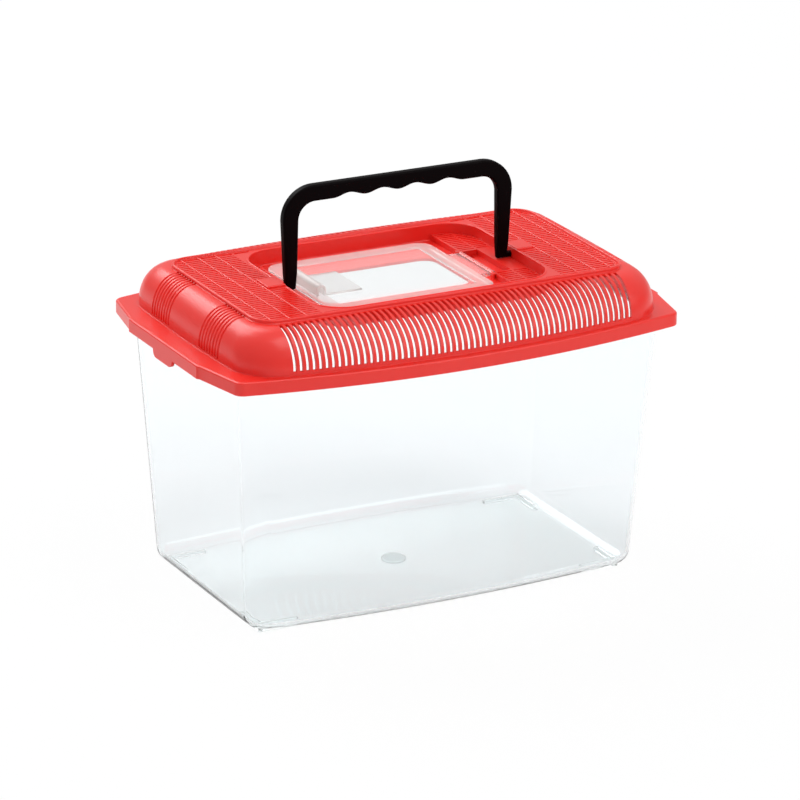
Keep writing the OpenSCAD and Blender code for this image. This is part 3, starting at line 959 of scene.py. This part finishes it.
    def grid_slits(self) -> list[Workpiece]:
        """Cutters for the slits of the top plate at the right end."""
        z0, z1, lip = self.rim_top + self.dome_rise - 4 * PAST, self.lip_top, self.lip_w
        sizes = (self.plate_half_length, self.plate_half_width, self.plate_corner_r)
        half_x, half_y, r = (size - lip for size in sizes)
        slits = []
        for column in range(-self.grid_inner_columns, self.grid_columns):
            x = self.grid_first_x + column * self.grid_pitch
            for row in range(self.grid_rows):
                y = (row - (self.grid_rows - 1) / 2) * self.grid_row_pitch
                end = self.slit_end(half_x, half_y, r, self.slit_to_lip, y)
                x1 = min(x + self.grid_pitch - self.grid_rib_w, end)
                if self.slit_fits(x, y) and x1 - x > self.least_slit:
                    slits.append(self.slit(x, x1, y, z0, z1))
        return slits

    def slit(self, x0: float, x1: float, y: float, z0: float, z1: float) -> Workpiece:
        """A cutter for one slit along X, from x0 to x1 and from z0 to z1."""
        return Workpiece.block("slit", (x0, y - self.grid_slit_w / 2, z0), (x1, y + self.grid_slit_w / 2, z1))

    def shelf_slits(self) -> list[Workpiece]:
        """Cutters for the slits of both shelves, beside the handle's legs."""
        z0, z1, gap = self.shelf_top - self.wall - PAST, self.shelf_top + PAST, self.slit_to_edge
        rib_left, rib_right = (self.shelf_rib_x + way * self.grid_rib_w / 2 for way in (-1, 1))
        half_x, half_y, r = self.recess_half_length, self.recess_half_width, self.recess_corner_r
        slits = []
        for row in range(self.shelf_rows):
            y = self.shelf_row_first + row * self.grid_row_pitch
            end = self.slit_end(half_x, half_y, r, gap, y)
            right = (self.right_shelf + gap, min(rib_left, end))
            spans = (right, (rib_right, end), (-end, self.left_shelf - gap))
            slits += [self.slit(a, b, y, z0, z1) for a, b in spans if b - a > self.least_slit]
        return slits

    def hinge_holes(self) -> list[Workpiece]:
        """Cutters for the core holes in the pocket's floor, under the rear hinge pin."""
        y0, y1 = self.core_hole_y, self.pocket_half_w
        z0, z1 = self.recess_floor - self.wall - PAST, self.recess_floor + PAST
        return [Workpiece.block("core_hole", (a, y0, z0), (b, y1, z1)) for a, b in self.core_holes]

    def side_slots(self) -> list[Workpiece]:
        """Cutters for the slots over the rear shoulder."""
        half_w, out_y = self.slot_w / 2, self.dome_half_width + self.dome_bow + 3 * PAST
        top = self.lip_top - self.slot_to_top
        slot = Workpiece.block("slot", (-half_w, self.slot_inner_y, self.slot_bottom), (half_w, out_y, top))
        places = [(i - (self.slots - 1) / 2) * self.slot_pitch for i in range(self.slots)]
        slots = [slot.moved((x, 0, 0)) for x in places]
        bpy.data.objects.remove(slot.shape, do_unlink=True)
        return slots

    def groove(self, y: float) -> Workpiece:
        """Cutter for a groove over the right end's shoulder.

        Args:
            y: Its place across the lid.

        Returns:
            A thin round bar along the shoulder.
        """
        path, rings, back = [], [], Vector((0, 1, 0))
        foot, rise = self.rim_top + self.dome_straight, self.dome_rise - self.dome_straight
        for s, c in arc(14):
            half_x, half_y = self.spread(c)
            x = half_x + self.dome_end_bow * c * (1 - (y / half_y) ** 2)
            path.append(Vector((x, y, foot + rise * s)))
        path.insert(0, path[0] - Vector((0, 0, self.groove_below)))
        path.append(path[-1] - Vector((self.groove_beyond, 0, 0)))
        for i, middle in enumerate(path):
            along = (path[min(i + 1, len(path) - 1)] - path[max(i - 1, 0)]).normalized()
            out = along.cross(back).normalized()
            spokes = [out * c + back * s for s, c in arc(self.groove_sides, 360)[:-1]]
            rings.append([tuple(middle + spoke * self.groove_r) for spoke in spokes])
        return Workpiece.loft("groove", rings)

    def end_grooves(self) -> list[Workpiece]:
        """Cutters for the two groups of grooves over the right end's shoulder."""
        places = [self.groove_first_y + i * self.groove_pitch for i in range(self.grooves)]
        return with_mirrored([self.groove(y) for y in places], "Y")

    def rib_beads(self) -> list[Workpiece]:
        """The half-round beads on the grid's ribs at the right end."""
        y, z = self.plate_half_width - self.lip_w - self.rib_bead_gap, self.plate_top
        first, r, sides = self.grid_first_x - self.grid_rib_w / 2, self.rib_bead_r, self.rib_bead_sides
        places = [first + i * self.grid_pitch for i in range(1, self.grid_columns)]
        return [Workpiece.rod("bead", (x, -y, z), (x, y, z), r, sides=sides) for x in places]

    def build(self, finish: MouldedPlastic) -> None:
        """Models the lid and dresses it in its plastic."""
        lid = self.shell()
        added = with_mirrored([self.tab(), self.boss()] + self.rib_beads(), "X")
        lid.change(joined(added + [self.shelf(self.left_shelf), self.hinge_shelf()]), Combine.ADD)
        lid.change(joined(self.hollows()), Combine.CUT)
        cuts = with_mirrored(self.grid_slits() + self.end_grooves(), "X")
        cuts += with_mirrored(self.side_slots() + self.shelf_slits() + self.hinge_holes(), "Y")
        reach = (-2 * PAST, self.pivot_hole_depth)
        start, end = ((self.recess_half_length + x, 0, self.pivot_z) for x in reach)
        cuts += with_mirrored([Workpiece.rod("hole", start, end, self.pivot_hole_r)], "X")
        y = self.pocket_half_w + self.ear_t
        start, end = ((self.hinge_x, side * y, self.hinge_z) for side in (-1, 1))
        cuts.append(Workpiece.rod("pin_hole", start, end, self.pin_hole_r))
        lid.change(joined(cuts), Combine.CUT)
        lid.finish(finish.material(), self.role)


@dataclass
class CarryingHandle:
    """The black handle: two tapered legs, a grip with finger grooves and two pegs, one moulding."""

    half_span: float = 70.9
    top: float = 231.0
    pivot_z: float = 173.8
    depth: float = 5.4
    leg_top_w: float = 9.4
    leg_bottom_w: float = 6.6
    leg_foot_x: float = 68.9
    grip_h: float = 9.4
    bend_outer_r: float = 18.8
    bend_inner_r: float = 10.0
    finger_pitch: float = 20.2
    finger_depth: float = 2.2
    fingers: int = 4
    edge_r: float = 1.3
    foot_r: float = 1.75
    foot_corner: float = 1.3
    foot_taper_h: float = 8.0
    least_depth: float = 0.25
    edge_share: float = 0.98
    grip_gap: float = 2.0
    peg_r: float = 1.8
    peg_tip_x: float = 75.2
    peg_sink: float = 3.0
    peg_edge: float = 0.4
    role: Role = Role("handle", "carrying_handle", "black_handle", 45)

    def groove(self, x: float) -> float:
        """How far the grip's underside is hollowed at a place along it."""
        if abs(x) > self.finger_pitch * self.fingers / 2:
            return 0.0
        return self.finger_depth * (1 - math.cos(2 * math.pi * x / self.finger_pitch)) / 2

    def section(self, outer: Point, inner: Point, half_depth: float) -> Ring:
        """A rounded cross-section between two points of the handle's outline.

        Args:
            outer: X and Z on the outer edge.
            inner: X and Z on the inner edge.
            half_depth: Half its depth along Y.

        Returns:
            The ring.
        """
        a, b = Vector((outer[0], 0, outer[1])), Vector((inner[0], 0, inner[1]))
        middle, across = (a + b) / 2, (a - b)
        half_w, direction = across.length / 2, across.normalized()
        r = min(self.edge_r, half_depth * self.edge_share, half_w * self.edge_share)
        points = []
        for quarter, (side_u, side_v) in enumerate(((1, 1), (1, -1), (-1, -1), (-1, 1))):
            for lead, lag in arc(4):
                du, dv = (lead, lag) if quarter % 2 == 0 else (lag, lead)
                u, v = half_w - r + r * du, half_depth - r + r * dv
                points.append(middle + direction * side_u * u + Vector((0, side_v * v, 0)))
        return [tuple(p) for p in points]

    def right_half(self) -> list[Ring]:
        """Sections from the right leg's foot to the middle of the grip."""
        rings = []
        inner_x, half = self.leg_foot_x - self.leg_bottom_w, self.depth / 2
        for s, c in arc(8)[::-1]:
            drop = self.foot_r * s
            low = max(drop - (self.foot_r - self.foot_corner), 0)
            cut = self.foot_corner - math.sqrt(max(self.foot_corner**2 - low**2, 0))
            half_depth = max(self.foot_r * c, self.least_depth)
            z = self.pivot_z - drop
            rings.append(self.section((self.leg_foot_x - cut, z), (inner_x + cut, z), half_depth))
        bend_z, inner_top = self.top - self.bend_outer_r, self.half_span - self.leg_top_w
        rise = bend_z - self.pivot_z
        for up in [self.foot_taper_h] + [rise * t for t in share(6, 2)]:
            z, t = self.pivot_z + up, up / rise
            outer_x = self.leg_foot_x + (self.half_span - self.leg_foot_x) * t
            rings.append(self.section((outer_x, z), (inner_x + (inner_top - inner_x) * t, z), half))
        outer_c = (self.half_span - self.bend_outer_r, bend_z)
        inner_c = (inner_top - self.bend_inner_r, self.top - self.grip_h - self.bend_inner_r)
        for s, c in arc(12, first=1):
            outer = (outer_c[0] + self.bend_outer_r * c, outer_c[1] + self.bend_outer_r * s)
            inner = (inner_c[0] + self.bend_inner_r * c, inner_c[1] + self.bend_inner_r * s)
            rings.append(self.section(outer, inner, half))
        for x in ((inner_c[0] - self.grip_gap) * (1 - t) for t in share(40)):
            rings.append(self.section((x, self.top), (x, self.top - self.grip_h + self.groove(x)), half))
        return rings

    def build(self, finish: MouldedPlastic) -> None:
        """Models the handle and dresses it in its plastic."""
        right = self.right_half()
        left = [[(-x, y, z) for x, y, z in ring] for ring in right[:-1]]
        handle = Workpiece.loft("handle_moulding", right + left[::-1])
        start, end = ((x, 0, self.pivot_z) for x in (self.leg_foot_x - self.peg_sink, self.peg_tip_x))
        peg = Workpiece.rod("peg", start, end, self.peg_r, self.peg_edge)
        handle.change(joined(with_mirrored([peg], "X")), Combine.ADD)
        handle.finish(finish.material(), self.role)


@dataclass
class HatchDoor:
    """The clear hatch door with its hinge bar, finger crest and latch, one moulding."""

    left: float = -61.0
    right: float = 41.0
    half_width: float = 43.0
    corner_r: float = 9.0
    bottom: float = 168.8
    top: float = 172.6
    pane_bottom: float = 170.4
    border: float = 1.8
    step_w: float = 9.0
    least_corner_r: float = 2.0
    edge_r: float = 0.7
    under_edge: tuple[Point, ...] = ((0.5, 0), (0, -0.4))
    foot_edge: float = 0.3
    step_edge: tuple[Point, ...] = ((-0.5, 172.6), (0, 172.4), (0.5, 172.0))
    hinge_x: float = 50.4
    hinge_z: float = 170.4
    hinge_half_l: float = 19.2
    bar_r: float = 1.7
    pin_r: float = 1.0
    pin_l: float = 3.0
    web_half_t: float = 1.0
    hinge_edge: float = 0.3
    thin_edge: float = 0.2
    crest_left: float = -57.8
    crest_w: float = 5.2
    crest_half_l: float = 17.5
    crest_top: float = 178.8
    crest_wall: float = 1.1
    pad_right: float = -29.5
    pad_half_w: float = 16.5
    pad_top: float = 173.1
    latch_x: float = -54.9
    latch_half_w: float = 11.0
    latch_depth: float = 5.0
    sink: float = 0.4
    role: Role = Role("door", "hatch_door", "clear_door", 35)

    def outline(self, inset: float, z: float) -> Ring:
        """The door's outline, taken in by inset, at a height."""
        half_x = (self.right - self.left) / 2 - inset
        r = max(self.corner_r - inset, self.least_corner_r)
        return at_height(rounded(half_x, self.half_width - inset, r), z, (self.left + self.right) / 2)

    def pane(self) -> Workpiece:
        """The pane with its raised border and the rim that hangs from it."""
        r, low, cut = self.edge_r, self.bottom, self.foot_edge
        under = [(self.border + inset, self.pane_bottom + up) for inset, up in self.under_edge]
        foot = [(self.border, low), (cut, low), (0, low + cut)]
        edge = [(r * (1 - c), self.top - r + r * s) for s, c in arc(4)]
        step = [(self.step_w + inset, z) for inset, z in self.step_edge]
        rings = [self.outline(inset, z) for inset, z in under + foot + edge + step]
        return Workpiece.loft("door_moulding", rings)

    def hinge(self) -> Workpiece:
        """The web, bar and pins at the door's right edge."""
        half, x, z = self.hinge_half_l, self.hinge_x, self.hinge_z
        tip, thick, thin = half + self.pin_l, self.web_half_t, self.thin_edge
        web = Workpiece.block("web", (self.right - self.border, -half, z - thick), (x, half, z + thick), thin)
        bar = Workpiece.rod("bar", (x, -half, z), (x, half, z), self.bar_r, self.hinge_edge)
        pins = Workpiece.rod("pins", (x, -tip, z), (x, tip, z), self.pin_r, thin)
        bar.change(web, Combine.ADD)
        bar.change(pins, Combine.ADD)
        return bar

    def crest(self) -> Workpiece:
        """The hollow crest that a finger lifts."""
        r, sink, half_l = self.crest_w / 2, self.hinge_edge, self.crest_half_l

        def arch(name: str, radius: float, foot: float, reach: float) -> Workpiece:
            """A bar along Y with a round top, of a radius, from the height of its foot."""
            bend = [(-radius * c, self.crest_top - r + radius * s) for s, c in arc(12, 180)]
            outline = [(self.crest_left + r + x, z) for x, z in [(-radius, foot)] + bend + [(radius, foot)]]
            return Workpiece.loft(name, [[(x, y, z) for x, z in outline] for y in (-reach, reach)])

        crest = arch("crest", r, self.pane_bottom + sink, half_l)
        crest.change(arch("hollow", r - self.crest_wall, self.top - sink, half_l + PAST), Combine.CUT)
        return crest

    def build(self, finish: ClearPlastic) -> None:
        """Models the door and dresses it in its plastic."""
        door = self.pane()
        x, y, z = self.crest_left + self.crest_w, self.pad_half_w, self.pane_bottom
        low = (x - self.sink, -y, z + self.thin_edge)
        pad = Workpiece.block("pad", low, (self.pad_right, y, self.pad_top), self.sink)
        x, y = self.latch_x, self.latch_half_w
        high = (x + self.crest_wall, y, z + self.sink)
        latch = Workpiece.block("latch", (x, -y, z - self.latch_depth), high, self.hinge_edge)
        for part in (self.hinge(), pad, self.crest(), latch):
            door.change(part, Combine.ADD)
        door.finish(finish.material(), self.role)


# The studio


@dataclass(frozen=True)
class Lamp:
    """A square soft lamp that faces the keeper, in metres and watts."""

    name: str
    at: Place
    size: float
    watts: float
    colour: tuple[float, float, float] = (1.0, 1.0, 1.0)


@dataclass(frozen=True)
class Studio:
    """White floor and surroundings, soft lamps, and the camera."""

    floor_half_m: float = 6.0
    floor_white: float = 0.94
    floor_through: float = 0.0
    floor_in_gloss: float = 0.6
    sky_light: float = 0.55
    sky_low: float = 0.4
    sky_high: float = 1.0
    lamps: tuple[Lamp, ...] = (
        Lamp("rear_softbox", (-0.45, 1.6, 1.75), 1.6, 33, (0.92, 0.965, 0.98)),
        Lamp("front_softbox", (1.2, -1.9, 1.3), 1.4, 12),
        Lamp("top_softbox", (0.3, -0.8, 2.2), 1.2, 12),
    )
    aim: Place = (0, 0, 0.15)
    azimuth: float = -27.9142
    elevation: float = 19.8555
    roll: float = 0.7247
    camera_at: Place = (-1.221872, -2.313609, 1.042853)
    focal_px: float = 4997.1
    frame_px: int = 800
    axis_px: float = 401.0
    sensor_mm: float = 36.0
    clip_end_m: float = 50.0

    def by_ray(
        self, tree: Tree, other: float, camera: float, through: float, gloss: float | bpy.types.Node
    ) -> bpy.types.Node:
        """A value that depends on how a surface is seen.

        Args:
            tree: The node tree.
            other: Its value for the light that falls on the keeper.
            camera: Its value in the camera.
            through: Its value through clear plastic.
            gloss: Its value in a reflection.

        Returns:
            The node with the value.
        """
        rays = add_node(tree, "LightPath")
        value = other
        for kind, seen in (("Glossy", gloss), ("Transmission", through), ("Camera", camera)):
            value = add_node(tree, "Mix", {0: rays.outputs[f"Is {kind} Ray"], 2: value, 3: seen})
        return value

    def floor(self) -> None:
        """The plain floor. It shows nearly white and keeps a soft shadow."""
        deselect()
        bpy.ops.mesh.primitive_plane_add(size=2 * self.floor_half_m)
        plane = bpy.context.object
        plane.name = "floor"
        material, tree = new_tree("matt white paper floor")
        matt = add_node(tree, "BsdfDiffuse", {"Color": linear("f6f6f6")})
        white = add_node(tree, "Emission", {"Strength": 1.0})
        share_white = self.by_ray(tree, 0.0, self.floor_white, self.floor_through, self.floor_in_gloss)
        both = add_node(tree, "MixShader", {0: share_white, 1: matt, 2: white})
        add_node(tree, "OutputMaterial", {"Surface": both})
        plane.data.materials.append(material)

    def sky(self) -> None:
        """The white surroundings: plain when seen, dimmer as light, and darker low down in reflections."""
        world = bpy.data.worlds.new("white surroundings")
        world.use_nodes = True
        tree = world.node_tree
        tree.nodes.clear()
        direction = add_node(tree, "TexCoord").outputs["Generated"]
        height = add_node(tree, "SeparateXYZ", {0: direction}).outputs["Z"]
        ramp = add_node(tree, "MapRange", {"Value": height, "To Min": self.sky_low, "To Max": self.sky_high})
        strength = self.by_ray(tree, self.sky_light, 1.0, 1.0, ramp)
        light = add_node(tree, "Background", {"Color": (1, 1, 1, 1), "Strength": strength})
        add_node(tree, "OutputWorld", {"Surface": light})
        bpy.context.scene.world = world

    def light(self, lamp: Lamp) -> None:
        """Sets up a lamp."""
        light = bpy.data.lights.new(lamp.name, "AREA")
        light.shape, light.size, light.energy, light.color = "SQUARE", lamp.size, lamp.watts, lamp.colour
        shape = bpy.data.objects.new(lamp.name, light)
        shape.location = lamp.at
        shape.rotation_euler = (Vector(self.aim) - Vector(lamp.at)).to_track_quat("-Z", "Y").to_euler()
        bpy.context.collection.objects.link(shape)

    def camera(self) -> None:
        """The camera, at the photograph's place, angle and framing."""
        azimuth, elevation, roll = (math.radians(a) for a in (self.azimuth, self.elevation, self.roll))
        flat = math.cos(elevation)
        back = Vector((math.sin(azimuth) * flat, -math.cos(azimuth) * flat, math.sin(elevation)))
        level = (-back).cross(Vector((0, 0, 1))).normalized()
        right = level * math.cos(roll) + level.cross(-back) * math.sin(roll)
        upward = back.cross(right)
        data = bpy.data.cameras.new("camera")
        data.sensor_width = self.sensor_mm
        data.lens = self.focal_px / self.frame_px * self.sensor_mm
        data.shift_x = (self.frame_px / 2 - self.axis_px) / self.frame_px
        data.clip_end = self.clip_end_m
        camera = bpy.data.objects.new("camera", data)
        axes = Matrix((right, upward, back)).transposed().to_4x4()
        camera.matrix_world = Matrix.Translation(self.camera_at) @ axes
        bpy.context.collection.objects.link(camera)
        bpy.context.scene.camera = camera

    def build(self) -> None:
        """Sets up the whole studio."""
        self.camera()
        self.floor()
        self.sky()
        for lamp in self.lamps:
            self.light(lamp)
        bpy.context.scene.view_settings.view_transform = "Standard"


RED_POLYPROPYLENE = MouldedPlastic(
    name="red moulded polypropylene",
    colour="ee2f26",
    deep_colour="e62820",
    roughness=0.3,
    cloud_mm=60,
    grain_mm=0.5,
    grain_depth_mm=0.02,
    gloss=0.5,
    glow=0.5,
)
BLACK_POLYPROPYLENE = MouldedPlastic(
    name="black moulded polypropylene",
    colour="080203",
    deep_colour="050102",
    roughness=0.42,
    cloud_mm=25,
    grain_mm=0.4,
    grain_depth_mm=0.03,
    gloss=0.04,
)
TANK_POLYSTYRENE = ClearPlastic(
    name="clear moulded polystyrene tank",
    colour="fafcfd",
    wave_mm=28,
    wave_depth_mm=0.03,
    ior=1.47,
    gate_r_mm=7.2,
    gate_haze=0.4,
    veil_colour="d4dadb",
    upper_mm=148.9,
    upper_haze=0.6,
)
DOOR_POLYSTYRENE = ClearPlastic(
    name="clear moulded polystyrene door",
    colour="fdfefe",
    wave_mm=18,
    wave_depth_mm=0.02,
    ior=1.4,
    haze=0.08,
    veil_colour="ebe6e4",
    upper_mm=172.05,
    upper_haze=0.42,
)


def main() -> None:
    """Builds the studio and the keeper's four mouldings."""
    logging.basicConfig(level=logging.INFO, format="%(message)s")
    Studio().build()
    lid = Lid()
    Tank().build(TANK_POLYSTYRENE, lid.rim)
    lid.build(RED_POLYPROPYLENE)
    CarryingHandle().build(BLACK_POLYPROPYLENE)
    HatchDoor().build(DOOR_POLYSTYRENE)


if __name__ == "__main__":
    main()
